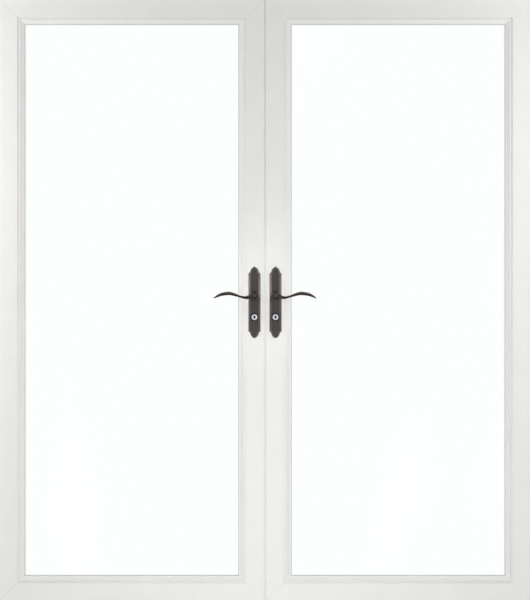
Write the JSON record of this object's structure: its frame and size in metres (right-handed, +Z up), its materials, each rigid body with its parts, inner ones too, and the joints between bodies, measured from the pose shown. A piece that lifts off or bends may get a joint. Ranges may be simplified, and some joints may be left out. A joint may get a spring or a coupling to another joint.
{
  "type": "french doors",
  "caption": "White vinyl french doors with clear glazing, mitred leaves and dark bronze lever handles, in a plain frame.",
  "frame": {"origin": "middle of the sill's underside", "axes": "+Z up, +X to the right seen from outside, +Y into the room"},
  "size_m": [1.854, 0.181, 2.08],
  "materials": {
    "vinyl": "smooth satin white extruded vinyl",
    "hinge_white": "white powder coat",
    "clear_glass": "clear float glass",
    "spacer": "mill finish",
    "grey_rubber": "matte",
    "white_rubber": "matte white soft vinyl",
    "black_rubber": "matte",
    "bronze": "oil-rubbed dark bronze, satin",
    "dark_bronze": "near-black bronze, satin",
    "steel": "zinc plated",
    "chrome": "polished nickel"
  },
  "bodies": {
    "frame": {"frame_head": "vinyl", "frame_left_jamb": "vinyl", "frame_right_jamb": "vinyl", "frame_sill": "vinyl", "frame_seal": "black_rubber", "head_keeps": "steel", "sill_keeps": "steel", "left_hinge_frame_plates": "hinge_white", "right_hinge_frame_plates": "hinge_white", "left_hinge_pins": "steel", "right_hinge_pins": "steel"},
    "left_leaf": {"left_hinge_stile": "vinyl", "left_meeting_stile": "vinyl", "left_top_rail": "vinyl", "left_bottom_rail": "vinyl", "left_glazing_beads": "vinyl", "left_outer_pane": "clear_glass", "left_inner_pane": "clear_glass", "left_glass_spacer": "spacer", "left_glazing_gaskets": "grey_rubber", "left_setting_blocks": "black_rubber", "left_outer_escutcheon": "bronze", "left_inner_escutcheon": "bronze", "left_lock_case": "steel", "left_lock_face_plate": "steel", "left_lock_cylinder": "chrome", "left_hinge_leaf_plates": "hinge_white", "left_meeting_seal": "white_rubber"},
    "left_lever": {"left_outer_lever": "dark_bronze", "left_inner_lever": "dark_bronze", "left_spindle": "steel"},
    "left_turn": {"left_cylinder_plug": "chrome", "left_thumbturn": "dark_bronze"},
    "left_upper_bolt": {"left_upper_bolt": "steel"},
    "left_lower_bolt": {"left_lower_bolt": "steel"},
    "right_leaf": {"right_hinge_stile": "vinyl", "right_meeting_stile": "vinyl", "right_top_rail": "vinyl", "right_bottom_rail": "vinyl", "right_glazing_beads": "vinyl", "right_outer_pane": "clear_glass", "right_inner_pane": "clear_glass", "right_glass_spacer": "spacer", "right_glazing_gaskets": "grey_rubber", "right_setting_blocks": "black_rubber", "right_outer_escutcheon": "bronze", "right_inner_escutcheon": "bronze", "right_lock_case": "steel", "right_lock_face_plate": "steel", "right_lock_cylinder": "chrome", "right_hinge_leaf_plates": "hinge_white"},
    "right_lever": {"right_outer_lever": "dark_bronze", "right_inner_lever": "dark_bronze", "right_spindle": "steel"},
    "right_turn": {"right_cylinder_plug": "chrome", "right_thumbturn": "dark_bronze"},
    "right_upper_bolt": {"right_upper_bolt": "steel"},
    "right_lower_bolt": {"right_lower_bolt": "steel"},
    "right_deadbolt": {"right_deadbolt": "steel"}
  },
  "joints": [
    {"name": "left_leaf_swing", "type": "hinge", "parent": "frame", "child": "left_leaf", "pos_m": [-0.9085, 0.05, 1.035], "axis": [0, 0, 1], "range_deg": [0, 105], "deforming": ["left_meeting_seal"]},
    {"name": "left_lever_lift", "type": "hinge", "parent": "left_leaf", "child": "left_lever", "pos_m": [-0.035, 0.05, 1.05], "axis": [0, 1, 0], "range_deg": [0, 45]},
    {"name": "left_key_turn", "type": "hinge", "parent": "left_leaf", "child": "left_turn", "pos_m": [-0.035, 0.05, 0.978], "axis": [0, 1, 0], "range_deg": [0, 90]},
    {"name": "left_upper_bolt_slide", "type": "slide", "parent": "left_leaf", "child": "left_upper_bolt", "axis": [0, 0, 1], "range_m": [0, 0.02]},
    {"name": "left_lower_bolt_slide", "type": "slide", "parent": "left_leaf", "child": "left_lower_bolt", "axis": [0, 0, -1], "range_m": [0, 0.02]},
    {"name": "right_leaf_swing", "type": "hinge", "parent": "frame", "child": "right_leaf", "pos_m": [0.9085, 0.05, 1.035], "axis": [0, 0, -1], "range_deg": [0, 105], "deforming": ["left_meeting_seal"]},
    {"name": "right_lever_lift", "type": "hinge", "parent": "right_leaf", "child": "right_lever", "pos_m": [0.035, 0.05, 1.05], "axis": [0, -1, 0], "range_deg": [0, 45]},
    {"name": "right_key_turn", "type": "hinge", "parent": "right_leaf", "child": "right_turn", "pos_m": [0.035, 0.05, 0.978], "axis": [0, -1, 0], "range_deg": [0, 90]},
    {"name": "right_upper_bolt_slide", "type": "slide", "parent": "right_leaf", "child": "right_upper_bolt", "axis": [0, 0, 1], "range_m": [0, 0.02]},
    {"name": "right_lower_bolt_slide", "type": "slide", "parent": "right_leaf", "child": "right_lower_bolt", "axis": [0, 0, -1], "range_m": [0, 0.02]},
    {"name": "right_deadbolt_slide", "type": "slide", "parent": "right_leaf", "child": "right_deadbolt", "axis": [-1, 0, 0], "range_m": [0, 0.02]}
  ],
  "couplings": [
    {"joint": "left_upper_bolt_slide", "follows": "left_lever_lift", "m_per_rad": 0.025465},
    {"joint": "left_lower_bolt_slide", "follows": "left_lever_lift", "m_per_rad": 0.025465},
    {"joint": "right_upper_bolt_slide", "follows": "right_lever_lift", "m_per_rad": 0.025465},
    {"joint": "right_lower_bolt_slide", "follows": "right_lever_lift", "m_per_rad": 0.025465},
    {"joint": "right_key_turn", "follows": "right_deadbolt_slide", "rad_per_m": 78.54}
  ]
}
